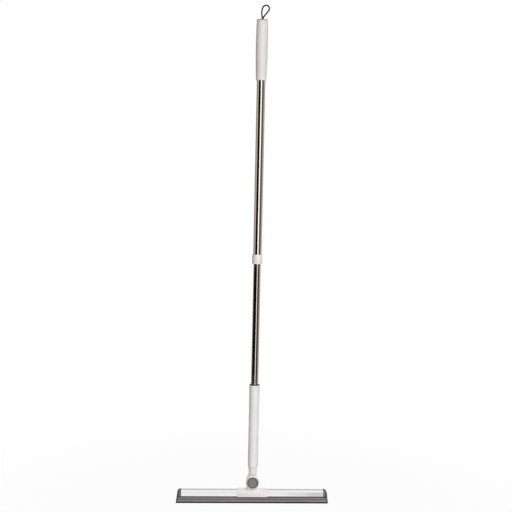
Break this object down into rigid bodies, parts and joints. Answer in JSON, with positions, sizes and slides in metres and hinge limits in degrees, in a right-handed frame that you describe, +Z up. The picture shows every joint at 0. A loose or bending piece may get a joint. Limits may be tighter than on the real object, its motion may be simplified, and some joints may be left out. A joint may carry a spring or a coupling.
{
  "type": "floor squeegee",
  "caption": "Floor squeegee with a rubber blade in an aluminium channel, a swivel bracket, a telescopic twist-lock steel pole, a hand grip and a hanging loop.",
  "frame": {"origin": "middle of the blade's wiping edge, where it meets the floor", "axes": "+X along the blade to the right seen from the front, +Y to the rear, +Z up the pole"},
  "size_m": [0.402, 0.036, 1.2926],
  "materials": {
    "white_plastic": "satin",
    "stainless": "polished",
    "fastener_steel": "satin",
    "aluminium": "satin",
    "grey_rubber": "matte",
    "grey_plastic": "satin",
    "black_rubber": "matte",
    "inner_nylon": "matte",
    "black_nylon": "matte",
    "cord": "braided"
  },
  "bodies": {
    "upper_pole": {"pole_collar": "white_plastic", "guide_bush": "inner_nylon", "upper_tube": "stainless", "hand_grip": "white_plastic", "grip_end_cap": "white_plastic", "hanging_loop": "cord", "loop_knot": "cord"},
    "lock_ring": {"cam_ring": "black_nylon"},
    "lower_pole": {"swivel_neck": "white_plastic", "pivot_bush": "inner_nylon", "lower_sleeve": "white_plastic", "mouth_ring": "black_rubber", "lower_tube": "stainless", "tube_rivet": "fastener_steel", "cam_plug": "inner_nylon", "cam_retainer": "inner_nylon", "cam_screw": "fastener_steel"},
    "head": {"wiper_blade": "grey_rubber", "head_channel": "aluminium", "end_cap_left": "grey_plastic", "end_cap_right": "grey_plastic", "saddle_bracket": "white_plastic", "bracket_screws": "fastener_steel", "pivot_bolt": "fastener_steel", "pivot_nut": "fastener_steel", "bolt_washers": "fastener_steel", "friction_washers": "inner_nylon", "pivot_cap_front": "grey_plastic", "pivot_cap_rear": "grey_plastic"}
  },
  "joints": [
    {"name": "pole_slide", "type": "slide", "parent": "upper_pole", "child": "lock_ring", "axis": [0, 0, 1], "range_m": [0, 0.305]},
    {"name": "lock_twist", "type": "hinge", "parent": "lock_ring", "child": "lower_pole", "pos_m": [0, 0, 0.65], "axis": [0, 0, 1], "range_deg": [-40, 40]},
    {"name": "head_swivel", "type": "hinge", "parent": "lower_pole", "child": "head", "pos_m": [0, 0, 0.06], "axis": [0, 1, 0], "range_deg": [-90, 90]}
  ]
}
